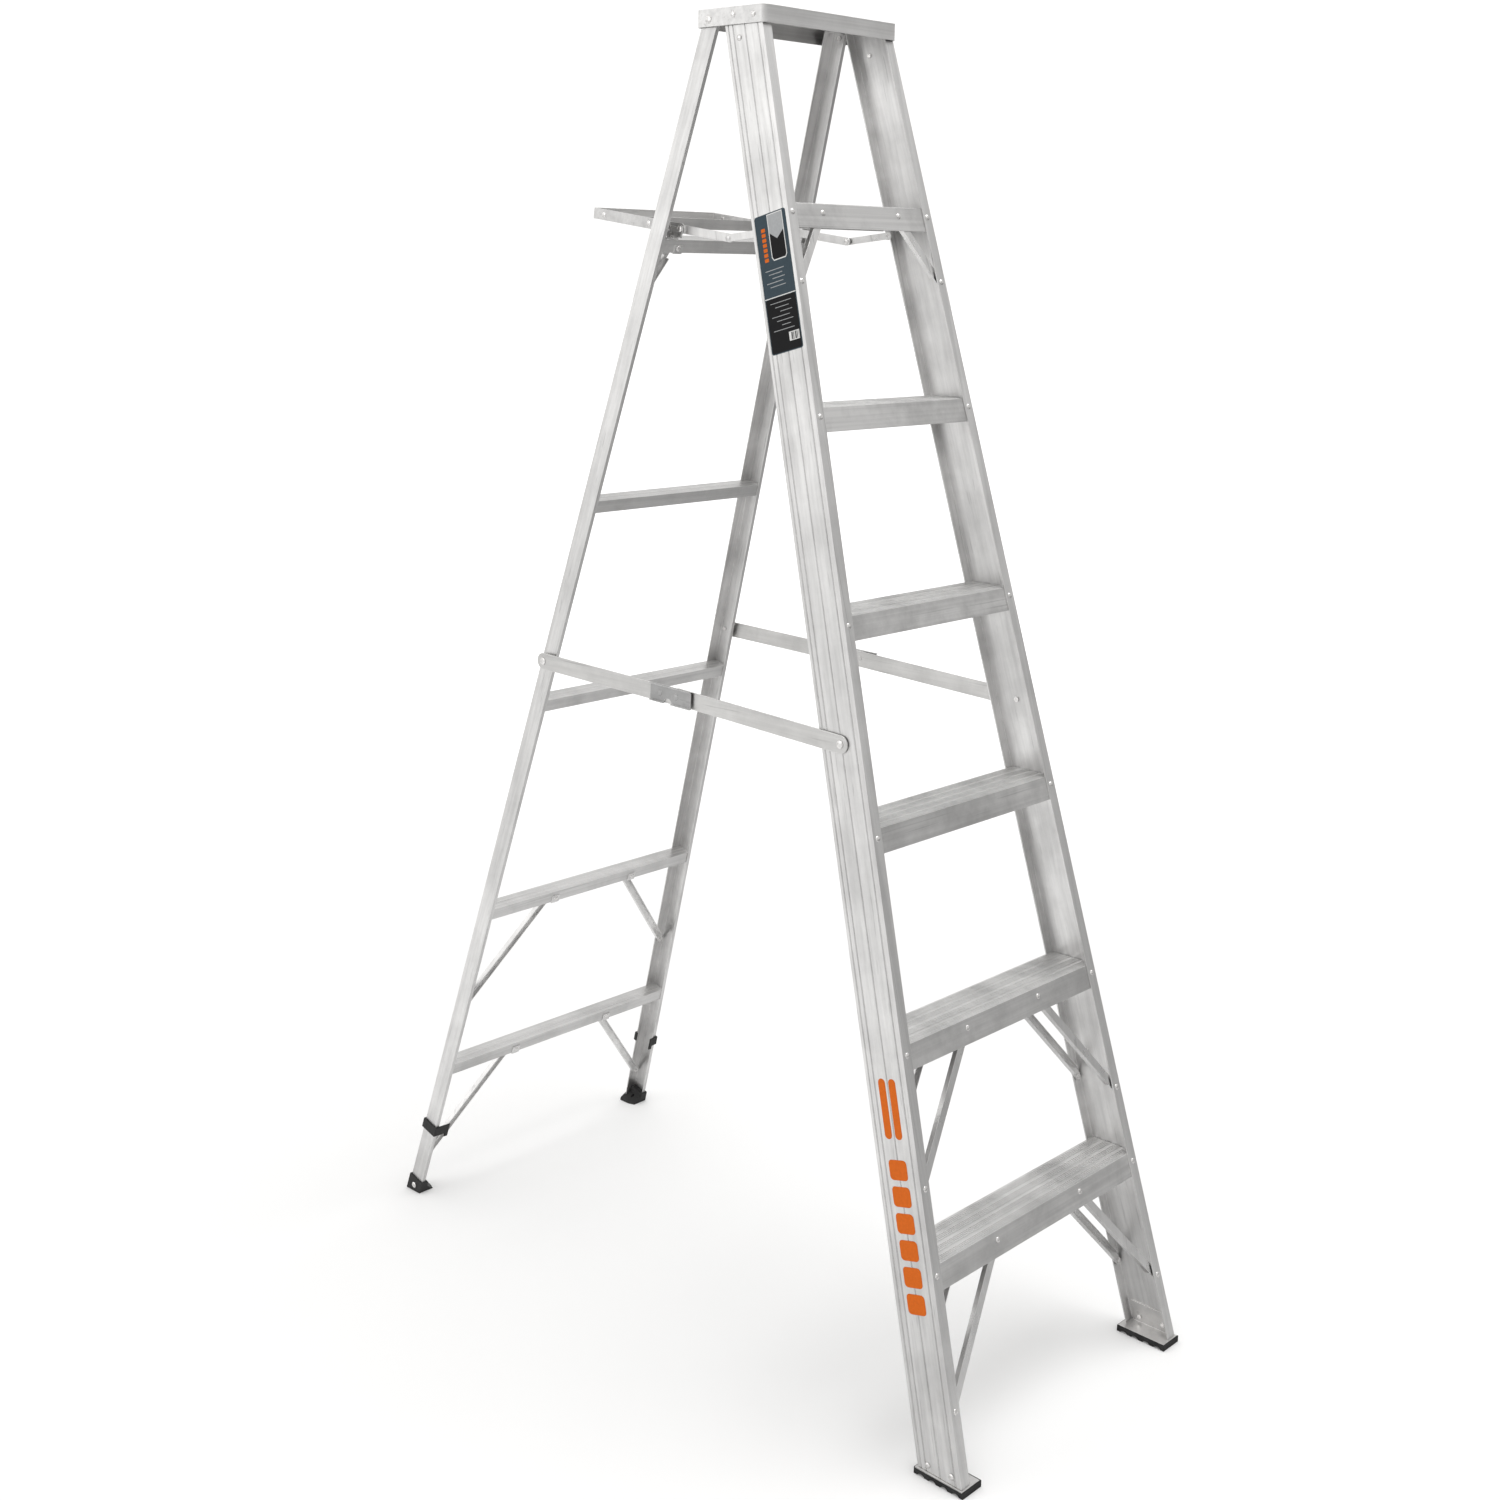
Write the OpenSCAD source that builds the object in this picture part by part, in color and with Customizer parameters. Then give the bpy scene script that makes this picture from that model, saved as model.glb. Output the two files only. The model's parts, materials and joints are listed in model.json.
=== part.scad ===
// Folding step ladder: six steps and a top cap on two front rails, a braced rear section that
// hinges under the cap, two toggle spreaders and a small pail tray that folds with the rear section.
// X runs across the ladder, Y from the climbing side to the back, Z up. Millimetres.

/* [Front section] */
// Distance from one step to the next, along the front rails
step_pitch = 304.8; // [290:0.1:310]
// Distance along the rail from the floor to the first tread
first_tread = 310; // [300:0.5:320]
// Lean of the front rails from upright, in degrees
front_lean = 15.2; // [14.8:0.1:15.6]
// Half width over the front rails at the floor
base_half_w = 279; // [274:0.5:284]
// Inward slope of each front rail, in degrees
rail_taper = 3.47; // [3.4:0.01:3.55]
// Depth of the front rail's web
rail_depth = 75; // [70:0.5:76]
// Width of the front rail's flanges
rail_flange = 19; // [16:0.5:20]
// Wall of the front rail
rail_wall = 2; // [1.6:0.1:2.2]
// Height of a step's front and rear aprons
apron_h = 36.5; // [32:0.5:38]
// Sheet thickness of the steps
step_wall = 1.6; // [1.2:0.1:1.8]

/* [Top cap] */
// Height of the cap's upper face above the floor
cap_top = 2058; // [2056:0.5:2059]
// Height of the cap's skirts
cap_h = 26; // [24:0.5:30]
// Front of the cap, measured back from the foot of the front rails
cap_front = 546; // [545:0.5:548]
// Rear of the cap, measured back from the foot of the front rails
cap_rear = 688; // [687:0.5:692]
// Sheet thickness of the cap
cap_wall = 2.2; // [2:0.1:2.4]

/* [Rear section] */
// Lean of the rear rails from upright, in degrees
rear_lean = 15.9; // [15.5:0.1:16.2]
// Place of the rear hinge, back from the foot of the front rails
hinge_y = 660.8; // [660:0.1:662]
// Height of the rear hinge above the floor
hinge_z = 2043; // [2042:0.5:2044]
// Outward slope of each rear rail, in degrees
rear_taper = 3.55; // [3.5:0.01:3.6]
// Depth of the rear rail's web
rear_depth = 30; // [28:0.5:31]
// Width of the rear rail's rear flange
rear_flange = 23.4; // [22:0.1:24]
// Width of the rear rail's front lip
rear_lip = 7; // [6:0.5:8]
// Wall of the rear rail
rear_wall = 1.6; // [1.4:0.1:1.8]
// Depth of a rear bar
bar_depth = 26.6; // [24:0.1:26.6]
// Height of a rear bar
bar_h = 21; // [18:0.5:22]

/* [Spreaders] */
// Width of the spreader bars
spreader_w = 27; // [24:0.5:28]
// Thickness of the spreader bars
spreader_t = 2.5; // [2:0.1:2.6]

/* [Tray] */
// Half width over the tray's side plates
tray_half_w = 139; // [137:0.5:139]
// Reach of the tray behind its hinge
tray_len = 203; // [190:1:205]
// Height of the tray's skirts
tray_h = 17.5; // [15:0.5:18]
// Upward tilt of the open tray, in degrees
tray_tilt = 7.3; // [7:0.1:7.6]

/* [Hidden] */
$fn = 48;

// Clearances: a rivet in its hole, a pivot pin in its bore, and sheet against sheet
rivet_gap = 0.05;
pin_gap = 0.06;
sheet_gap = 0.1;

// Rivets and pins
rivet_r = 2.4;
rivet_head_r = 4.6;
rivet_head_h = 2.2;
pin_r = 3.2;

// Front frame: a point (x, y, t) lies y behind the rails' front face and t up the rail
hinge_ly = hinge_y * cos(front_lean) - hinge_z * sin(front_lean);
hinge_lt = hinge_y * sin(front_lean) + hinge_z * cos(front_lean);
function rail_x(t) = base_half_w - tan(rail_taper) * t;
flange_rivet_in = 9.8;
rail_len = 2160;
rail_foot_z = 10.4;
cap_inner_z = cap_top - cap_wall;
cap_half_w = 154.4;

// Rear frame: a point (x, m, -t) lies m behind the rear rails' centre and t below the hinge
hinge_half_w = rail_x(hinge_lt);
function rear_x(t) = hinge_half_w + tan(rear_taper) * t;
rear_foot_y = hinge_y + hinge_z * tan(rear_lean);
rear_len = hinge_z / cos(rear_lean);
rear_top = 8;
boot_wall = 3;
boot_base = 6;

// Middle of the object from front foot to rear foot, which the origin stands under
foot_front = -2;
foot_rear = rear_foot_y + (rear_depth / 2 + boot_wall) / cos(rear_lean);
mid_y = (foot_front + foot_rear) / 2;

// Steps, and the places of what is riveted to them
steps = [0, 1, 2, 3, 4, 5];
function tread_t(i) = first_tread + i * step_pitch;
front_rivet_drop = 13;
rear_apron_rise = (rail_depth - rail_wall) * tan(front_lean);
rear_rivet_drop = -2;

// Step braces: [x of the apron rivet, drop from there to the rail's rivet], front and rear
brace_w = 13;
brace_t = 1.4;
brace_side = 8;
function brace_span(i) =
    i == 0 ? [105.6, 184.5] :
    i == 1 ? [89, 185] : [89, 104];
// The braces sit a little inboard of each apron: front ones behind it, rear ones before it
front_brace_y = rail_wall + step_wall + 2 * sheet_gap;
rear_brace_y = rail_depth - rail_wall - step_wall - 2 * sheet_gap;

// Rear bars: distance of each bar's top below the hinge
bar_t = [1849.4, 1532.4, 1131.4, 773.9, 336.9];
bar_front = -13.3;
bar_wall = 1.4;
bar_rivet_in = 12;
// Rear braces: x of the upper end, and drop from the bar's top to the rail rivet
rear_brace_x = [102, 83, 0, 0, 120];
rear_brace_drop = [210, 210, 0, 0, 88];
// The strut lies inside the bar's rear wall, and its tab comes forward under the bar
brace_m = bar_front + bar_depth - bar_wall - sheet_gap - brace_t;
brace_tab_m = bar_front - sheet_gap - brace_t;
brace_tab_shift = 10;
brace_tab_w = 17;
brace_lip_h = 14;
brace_lip_rivet = 7;

// Spreader pivots, as [y, z]
spread_front = [309, 1000];
spread_mid = [640, 1013];
spread_rear_t = 1065;
spread_rear = [hinge_y + spread_rear_t * sin(rear_lean) + 5 * cos(rear_lean),
    hinge_z - spread_rear_t * cos(rear_lean) + 5 * sin(rear_lean)];
spread_front_x = 216.9;
spread_rear_x = spread_front_x + spreader_t + 0.5;
lock_x = spread_rear_x + spreader_t + sheet_gap;

// Tray hinge, in the rear frame, and the pivots of its links, as [y, z]
tray_hinge_m = -19.3;
tray_hinge_t = 318;
tray_hinge = [hinge_y + tray_hinge_t * sin(rear_lean) + tray_hinge_m * cos(rear_lean),
    hinge_z - tray_hinge_t * cos(rear_lean) + tray_hinge_m * sin(rear_lean)];
tray_arm_len = 106.4;
tray_elbow = [tray_hinge[0] - tray_arm_len * cos(tray_tilt),
    tray_hinge[1] - tray_arm_len * sin(tray_tilt)];
tray_link_foot = [540, 1728.157];
tray_pan_front = 85;
tray_wall = 1.5;
arm_t = 2.4;
arm_w = 13;
arm_x = tray_half_w - tray_wall - arm_t - sheet_gap;
link_w = 11;
link_x = tray_half_w + 0.7;
link_t = 2;

// ---------------------------------------------------------------- frames and small shapes

// Puts the front foot line on the floor and the origin under the middle of the object
module place() { translate([0, -mid_y, 0]) children(); }

// Leaning frame of the front section
module front_frame() { rotate([-front_lean, 0, 0]) children(); }

// Leaning frame of the rear section, from its hinge
module rear_frame() { translate([0, hinge_y, hinge_z]) rotate([rear_lean, 0, 0]) children(); }

// Frame that follows the slope of the right front rail, from distance t up it
module front_rail_frame(t) { translate([rail_x(t), 0, t]) rotate([0, -rail_taper, 0]) children(); }

// Frame that follows the slope of the right rear rail, from distance t below the hinge
module rear_rail_frame(t) { translate([rear_x(t), 0, -t]) rotate([0, -rear_taper, 0]) children(); }

// The right-hand shape for s = 1 and its mirror image for s = -1
module side(s) { mirror([s < 0 ? 1 : 0, 0, 0]) children(); }

// A slab of space between two heights, as a cutter
module level_slab(z0, z1) { translate([-500, -500, z0]) cube([1000, 2400, z1 - z0]); }

// Round hole or rod along X or Y, centred on the given point
module rod_x(x, y, z, len, r) { translate([x, y, z]) rotate([0, 90, 0]) cylinder(h = len, r = r, center = true); }
module rod_y(x, y, z, len, r) { translate([x, y, z]) rotate([90, 0, 0]) cylinder(h = len, r = r, center = true); }

// Section of a channel: web on x = 0, open towards -x, from y = 0 to y = depth
module channel(depth, lip_front, lip_back, wall) {
    translate([-wall, 0]) square([wall, depth]);
    translate([-lip_front, 0]) square([lip_front, wall]);
    translate([-lip_back, depth - wall]) square([lip_back, wall]);
}

// Rounded strip in the YZ plane between two pivots, from x to x + thick
module strap(a, b, w, x, thick, hole_a, hole_b) {
    len = norm(b - a);
    ang = atan2(b[1] - a[1], b[0] - a[0]);
    translate([x, a[0], a[1]]) rotate([ang, 0, 0]) difference() {
        union() {
            translate([0, 0, -w / 2]) cube([thick, len, w]);
            for (y = [0, len]) translate([thick / 2, y, 0]) rod_x(0, 0, 0, thick, w / 2);
        }
        if (hole_a > 0) rod_x(0, 0, 0, 40, hole_a);
        if (hole_b > 0) rod_x(0, len, 0, 40, hole_b);
    }
}

// Domed head above z = 0 on a plain shank that reaches down to z = -len
module stud(len, head_r = rivet_head_r, r = rivet_r, head_h = rivet_head_h) {
    dome = [for (a = [0:15:90]) [head_r * cos(a), head_h * sin(a)]];
    rotate_extrude() polygon(concat([[0, -len], [r, -len], [r, 0]], dome));
}

// Domed rivet: a stud with a flat tail under what it grips
module rivet(grip, head_r = rivet_head_r, r = rivet_r, head_h = rivet_head_h) {
    stud(grip + 1.3, head_r, r, head_h);
    translate([0, 0, -grip - 1.3]) cylinder(h = 1.3, r = r + 1.3);
}
module rivet_y(x, y, z, grip) { translate([x, y, z]) rotate([grip > 0 ? 90 : -90, 0, 0]) rivet(abs(grip)); }

// ---------------------------------------------------------------- front rails

// Every rivet hole of one front rail, in the front frame
module front_rail_holes() {
    for (i = steps) {
        t = tread_t(i) - front_rivet_drop;
        rod_y(rail_x(t) - flange_rivet_in, 0, t, 20, rivet_r + rivet_gap);
        u = tread_t(i) - rear_rivet_drop;
        rod_y(rail_x(u) - flange_rivet_in, rail_depth, u, 20, rivet_r + rivet_gap);
    }
    for (i = [0, 1, 5]) {
        t = tread_t(i) - front_rivet_drop - brace_span(i)[1];
        rod_y(rail_x(t) - flange_rivet_in, 0, t, 20, rivet_r + rivet_gap);
    }
    for (i = [0, 1]) {
        t = tread_t(i) - rear_rivet_drop - brace_span(i)[1];
        rod_y(rail_x(t) - flange_rivet_in, rail_depth, t, 20, rivet_r + rivet_gap);
    }
}

// Places on the web, as [y, z] from the foot of the front rails
foot_rivets = [[21.4, 21.6], [63.4, 18.7]];
cap_rivets = [[568.3, 2044.6], [609.5, 2047]];
web_rivets = [[598.1, 2012.2]];
function web_x(p) = rail_x(p[0] * sin(front_lean) + p[1] * cos(front_lean));

module front_rail(s) {
    place() side(s) color("silver") difference() {
        intersection() {
            front_frame() difference() {
                front_rail_frame(0) linear_extrude(height = rail_len) difference() {
                    channel(rail_depth, rail_flange, rail_flange, rail_wall);
                    for (y = [9.5, 35.5, 59.5, 68.5]) translate([-0.7, y - 0.75]) square([1, 1.5]);
                }
                front_rail_holes();
            }
            level_slab(rail_foot_z, cap_inner_z - 0.3);
        }
        for (p = concat(foot_rivets, cap_rivets, web_rivets))
            rod_x(web_x(p), p[0], p[1], 30, rivet_r + rivet_gap);
        rod_x(215, spread_front[0], spread_front[1], 30, pin_r + pin_gap);
    }
}

// ---------------------------------------------------------------- steps

// World [y, z] of a point y behind the front face and t up the rail
function lean(y, t) = [y * cos(front_lean) + t * sin(front_lean), t * cos(front_lean) - y * sin(front_lean)];

// Section of a step: two aprons that follow the rails, a level tread and its ribs
module step_section(i) {
    t = tread_t(i);
    z = t * cos(front_lean);
    under = z - step_wall;
    yf = rail_wall + sheet_gap;
    yr = rail_depth - rail_wall - sheet_gap;
    tf = t + yf * tan(front_lean);
    tr = t + yr * tan(front_lean);
    // Height along the rail where a plane y behind the front face meets the tread's underside
    uf = t - step_wall / cos(front_lean) + (yf + step_wall) * tan(front_lean);
    ur = t - step_wall / cos(front_lean) + (yr - step_wall) * tan(front_lean);
    // Ribs in four groups of four, with smooth lands between the groups
    first_rib = lean(yf, tf)[0] + 3.2;
    ribs = [for (g = [0:3], k = [0:3])
        for (p = [[0, 0], [0, 0.9], [1.5, 0.9], [1.5, 0]])
            [first_rib + g * 18.4 + k * 3.2 + p[0], z + p[1]]];
    polygon(concat([lean(yf, tf)], ribs, [lean(yr, tr), lean(yr, tr - apron_h),
        lean(yr - step_wall, tr - apron_h), lean(yr - step_wall, ur), lean(yf + step_wall, uf),
        lean(yf + step_wall, tf - apron_h), lean(yf, tf - apron_h)]));
}

module step(i) {
    t = tread_t(i);
    half = rail_x(t + rear_apron_rise) - rail_wall - 0.4;
    place() color("gainsboro") difference() {
        rotate([90, 0, 90]) linear_extrude(height = 2 * half, center = true) step_section(i);
        front_frame() for (s = [-1, 1]) {
            tf = t - front_rivet_drop;
            rod_y(s * (rail_x(tf) - flange_rivet_in), 3, tf, 16, rivet_r + rivet_gap);
            tr = t - rear_rivet_drop;
            rod_y(s * (rail_x(tr) - flange_rivet_in), rail_depth - 3, tr, 16, rivet_r + rivet_gap);
            if (i != 2 && i != 3 && i != 4)
                rod_y(s * brace_span(i)[0], 3, tf, 16, rivet_r + rivet_gap);
            if (i < 2) rod_y(s * brace_span(i)[0], rail_depth - 3, tr, 16, rivet_r + rivet_gap);
            if (i == 5) rod_y(s * bracket_rivet_x, rail_depth - 3, tr, 16, rivet_r + rivet_gap);
            // Slot under the top step's rear apron that the folded tray arm swings into
            if (i == 5) side(s) translate([arm_x - 0.8, rail_depth - 6, t + rear_apron_rise - apron_h - 1])
                cube([arm_t + 1.6, 6, 7]);
        }
    }
}

// ---------------------------------------------------------------- step braces

// Narrow channel with flat ends, from (xa, ta) to (xb, tb) in the front frame.
// Its flat web lies at y and its sides point along dir; a boss fills the gap to the rail flange.
module step_brace(xa, ta, xb, tb, y, dir) {
    len = norm([xb - xa, tb - ta]);
    ang = atan2(xb - xa, tb - ta);
    front_frame() difference() {
        union() {
            translate([xa, y, ta]) rotate([0, ang, 0]) {
                translate([-brace_w / 2, dir > 0 ? 0 : -brace_t, 0]) cube([brace_w, brace_t, len]);
                for (z = [0, len]) translate([0, dir * brace_t / 2, z]) rod_y(0, 0, 0, brace_t, brace_w / 2);
                for (x = [-brace_w / 2, brace_w / 2 - brace_t])
                    translate([x, dir > 0 ? 0 : -brace_side, 15]) cube([brace_t, brace_side, len - 30]);
            }
            translate([xb, y - dir * 0.85, tb]) rod_y(0, 0, 0, 1.7, 5.5);
        }
        for (p = [[xa, ta], [xb, tb]]) rod_y(p[0], y, p[1], 20, rivet_r + rivet_gap);
    }
}

module front_brace(i, s) {
    ta = tread_t(i) - front_rivet_drop;
    tb = ta - brace_span(i)[1];
    place() side(s) color("silver")
        step_brace(brace_span(i)[0], ta, rail_x(tb) - flange_rivet_in, tb, front_brace_y, 1);
}

module rear_step_brace(i, s) {
    ta = tread_t(i) - rear_rivet_drop;
    tb = ta - brace_span(i)[1];
    place() side(s) color("silver")
        step_brace(brace_span(i)[0], ta, rail_x(tb) - flange_rivet_in, tb, rear_brace_y, -1);
}

// ---------------------------------------------------------------- feet of the front rails

pad_h = 8;
sole_t = 2;

module foot_plate(s) {
    place() side(s) color("lightgray") difference() {
        union() {
            translate([base_half_w - 38, 0, pad_h]) cube([40, 83, sole_t]);
            intersection() {
                front_frame() front_rail_frame(0)
                    translate([-rail_wall - sheet_gap - 2.4, 3, -20]) cube([2.4, 66, 90]);
                level_slab(pad_h, 42);
            }
        }
        for (p = foot_rivets) rod_x(web_x(p), p[0], p[1], 30, rivet_r + rivet_gap);
    }
}

// Rubber pad with five rounded humps underneath and a low rim round the sole plate
pad_len = 86;
pad_w = 43;
hump_pitch = 20.2;
module foot_pad(s) {
    rim_h = pad_h + sole_t;
    place() side(s) color([0.08, 0.08, 0.08]) difference() {
        translate([base_half_w - 40, foot_front, 0]) union() {
            cube([pad_w, pad_len, pad_h]);
            cube([1.9, pad_len, rim_h]);
            cube([pad_w, 1.9, rim_h]);
            translate([0, pad_len - 0.9, 0]) cube([pad_w, 0.9, rim_h]);
        }
        for (k = [0:3]) translate([base_half_w, foot_front + 12.7 + k * hump_pitch, -3.8])
            rod_x(0, 0, 0, 100, 7.5);
    }
}

// ---------------------------------------------------------------- top cap

module rounded_plate(w, y0, y1, r) {
    translate([-w / 2 + r, y0]) square([w - 2 * r, y1 - y0]);
    translate([-w / 2, y0 + r]) square([w, y1 - y0 - 2 * r]);
    for (x = [-w / 2 + r, w / 2 - r], y = [y0 + r, y1 - r]) translate([x, y]) circle(r);
}

module top_cap() {
    place() color("lightgray") difference() {
        translate([0, 0, cap_top - cap_h]) linear_extrude(height = cap_h)
            rounded_plate(2 * cap_half_w, cap_front, cap_rear, 10);
        translate([0, 0, cap_top - cap_h - 1]) linear_extrude(height = cap_h + 1 - cap_wall)
            rounded_plate(2 * (cap_half_w - cap_wall), cap_front + cap_wall, cap_rear - cap_wall, 7.8);
        for (p = cap_rivets) rod_x(0, p[0], p[1], 400, rivet_r + rivet_gap);
        rod_x(0, hinge_y, hinge_z, 400, pin_r + rivet_gap);
    }
}

// ---------------------------------------------------------------- fasteners of the front section

module web_rivet(p, x, grip) {
    for (s = [-1, 1]) side(s) translate([x, p[0], p[1]]) rotate([0, 90, 0]) rivet(grip);
}

module front_rivets() {
    place() color("white") {
        front_frame() for (s = [-1, 1], i = steps) {
            tf = tread_t(i) - front_rivet_drop;
            tr = tread_t(i) - rear_rivet_drop;
            rivet_y(s * (rail_x(tf) - flange_rivet_in), 0, tf, rail_wall + step_wall + 0.3);
            rivet_y(s * (rail_x(tr) - flange_rivet_in), rail_depth, tr, -rail_wall - step_wall - 0.3);
            if (i == 0 || i == 1 || i == 5) {
                tb = tf - brace_span(i)[1];
                rivet_y(s * brace_span(i)[0], rail_wall + sheet_gap, tf, step_wall + brace_t + 0.2);
                rivet_y(s * (rail_x(tb) - flange_rivet_in), 0, tb, front_brace_y + brace_t + 0.1);
            }
            if (i < 2) {
                tb = tr - brace_span(i)[1];
                rivet_y(s * brace_span(i)[0], rail_depth - rail_wall - sheet_gap, tr,
                    -step_wall - brace_t - 0.2);
                rivet_y(s * (rail_x(tb) - flange_rivet_in), rail_depth, tb,
                    rear_brace_y - brace_t - 0.1 - rail_depth);
            }
            if (i == 5) rivet_y(s * bracket_rivet_x, rail_depth - rail_wall - sheet_gap, tr,
                -step_wall - bracket_t - 0.2);
        }
        for (p = foot_rivets)
            web_rivet(p, web_x(p) + 0.4, rail_wall + 3.3);
        for (p = web_rivets)
            web_rivet(p, web_x(p) + 0.4, rail_wall + 0.8);
        for (p = cap_rivets)
            web_rivet(p, cap_half_w, cap_half_w - web_x(p) + rail_wall + 0.3);
    }
}

// Washer on a pin along X, from x = a to x = b
module washer(p, a, b, r) {
    translate([(a + b) / 2, p[0], p[1]]) rod_x(0, 0, 0, b - a, r);
}

// Hinge pins of the rear section, front pins of the spreaders and pins of the tray's links
module front_pivot_pins() {
    place() color("white") for (s = [-1, 1]) side(s) {
        translate([cap_half_w, hinge_y, hinge_z]) rotate([0, 90, 0]) rivet(7.7, 6.5, pin_r);
        washer([hinge_y, hinge_z], 149.7, cap_half_w - cap_wall - 0.1, 6);
        translate([spread_front_x + spreader_t + 0.3, spread_front[0], spread_front[1]])
            rotate([0, 90, 0]) rivet(6.6, 6.5, pin_r);
        washer(spread_front, 216.1, spread_front_x - 0.2, 6);
        translate([link_x + link_t + 0.3, tray_link_foot[0], tray_link_foot[1]])
            rotate([0, 90, 0]) stud(link_x + link_t + 0.2 - bracket_x, 4.4);
    }
}

// Rating plate on the left rail's web, below the cap
label_t = [1621, 1829];
module rating_label() {
    place() side(-1) color([0.12, 0.16, 0.19]) front_frame() front_rail_frame(label_t[0])
        translate([0.03, 0, 0]) rotate([90, 0, 90]) linear_extrude(height = 0.27)
            translate([0, (label_t[1] - label_t[0]) / 2]) label_outline(6, 68.5, label_t[1] - label_t[0], 4);
}
module label_outline(y0, y1, h, r) {
    translate([y0 + r, -h / 2]) square([y1 - y0 - 2 * r, h]);
    translate([y0, -h / 2 + r]) square([y1 - y0, h - 2 * r]);
    for (y = [y0 + r, y1 - r], z = [-h / 2 + r, h / 2 - r]) translate([y, z]) circle(r);
}

// Angle brackets inside the top step's rear apron that carry the tray links
bracket_t = 1.6;
bracket_rivet_x = 128;
bracket_x = tray_half_w - 1.5;
module tray_step_brackets() {
    tr = tread_t(5) - rear_rivet_drop;
    yb = rail_depth - rail_wall - step_wall - 2 * sheet_gap;
    fy = tray_link_foot[0] * cos(front_lean) - tray_link_foot[1] * sin(front_lean);
    ft = tray_link_foot[0] * sin(front_lean) + tray_link_foot[1] * cos(front_lean);
    place() front_frame() color("silver") for (s = [-1, 1]) side(s) difference() {
        union() {
            translate([bracket_x - 18, yb - bracket_t, tr - 14]) cube([19.7, bracket_t, 24]);
            translate([bracket_x, fy - 7, ft]) cube([1.7, yb - fy + 7, tr + 8 - ft]);
            rod_x(bracket_x + 0.85, fy, ft, 1.7, 7);
        }
        rod_y(bracket_rivet_x, yb, tr, 16, rivet_r + rivet_gap);
        rod_x(bracket_x, fy, ft, 30, rivet_r + rivet_gap);
    }
}

// ---------------------------------------------------------------- rear section

module rear_rail(s) {
    place() side(s) color("silver") intersection() {
        rear_frame() difference() {
            rear_rail_frame(0) translate([0, -rear_depth / 2, -2200]) linear_extrude(height = 2200 + rear_top)
                channel(rear_depth, rear_lip, rear_flange, rear_wall);
            rod_x(hinge_half_w, 0, 0, 30, pin_r + pin_gap);
            for (t = bar_t) rod_y(rear_x(t) - bar_rivet_in, rear_depth / 2, -t - bar_h / 2, 10, rivet_r + rivet_gap);
            for (k = [0, 1, 4]) rear_brace_foot_hole(k);
            rod_x(rear_x(spread_rear_t), 5, -spread_rear_t, 30, rivet_r + rivet_gap);
            rod_x(rear_x(rear_len - 12), 0, 12 - rear_len, 30, rivet_r + rivet_gap);
        }
        level_slab(boot_base, 2100);
    }
}

// Lower rivet of a rear brace, on the rear flange
function brace_foot_t(k) = bar_t[k] + rear_brace_drop[k];
module rear_brace_foot_hole(k) {
    t = brace_foot_t(k);
    rod_y(rear_x(t) - bar_rivet_in, rear_depth / 2, -t, 14, rivet_r + rivet_gap);
}

// Channel across the rear rails, open underneath, with two shallow lines along its top
module rear_bar(k) {
    t = bar_t[k];
    half = rear_x(t) - rear_wall - 0.4;
    place() rear_frame() color("gainsboro") difference() {
        rotate([90, 0, 90]) linear_extrude(height = 2 * half, center = true) difference() {
            translate([bar_front, -t - bar_h]) square([bar_depth, bar_h]);
            translate([bar_front + bar_wall, -t - bar_h - 1]) square([bar_depth - 2 * bar_wall, bar_h + 1 - bar_wall]);
            for (y = [bar_front + 8, bar_front + 16]) translate([y, -t - 0.35]) square([1, 1]);
        }
        for (s = [-1, 1]) {
            rod_y(s * (rear_x(t) - bar_rivet_in), rear_depth / 2, -t - bar_h / 2, 10, rivet_r + rivet_gap);
            if (rear_brace_drop[k] > 0)
                rod_y(s * (rear_brace_x[k] + brace_tab_shift), bar_front, brace_lip_rivet - t - bar_h, 8,
                    rivet_r + rivet_gap);
            if (k == 4) translate([s * 150, 0, -t]) cylinder(h = 10, r = rivet_r + rivet_gap, center = true);
        }
    }
}

// Narrow channel from inside a rear bar down to the rear flange of the rail, with a tab that
// comes forward under the bar and turns up over its front wall
module rear_brace(k, s) {
    ta = bar_t[k] + bar_h / 2;
    tb = brace_foot_t(k);
    xa = rear_brace_x[k];
    xb = rear_x(tb) - bar_rivet_in;
    under = bar_t[k] + bar_h + sheet_gap;
    boss = rear_depth / 2 - rear_wall - sheet_gap - brace_m;
    len = norm([xb - xa, ta - tb]);
    ang = atan2(xb - xa, ta - tb);
    place() side(s) rear_frame() color("silver") difference() {
        union() {
            translate([xa, brace_m, -ta]) rotate([0, ang, 0]) {
                translate([-brace_w / 2, 0, 0]) cube([brace_w, brace_t, len]);
                translate([0, brace_t / 2, len]) rod_y(0, 0, 0, brace_t, brace_w / 2);
                for (x = [-brace_w / 2, brace_w / 2 - brace_t])
                    translate([x, brace_t - brace_side, 26]) cube([brace_t, brace_side, len - 40]);
            }
            translate([xb, brace_m + boss / 2, -tb]) rod_y(0, 0, 0, boss, 5.5);
            translate([xa + brace_tab_shift - brace_tab_w / 2, brace_tab_m, -under - brace_t]) {
                cube([brace_tab_w, brace_m + brace_t - brace_tab_m, brace_t]);
                cube([brace_tab_w, brace_t, brace_lip_h]);
            }
        }
        rod_y(xa + brace_tab_shift, brace_tab_m, brace_lip_rivet - bar_t[k] - bar_h, 8, rivet_r + rivet_gap);
        rod_y(xb, brace_m, -tb, 14, rivet_r + rivet_gap);
    }
}

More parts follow.
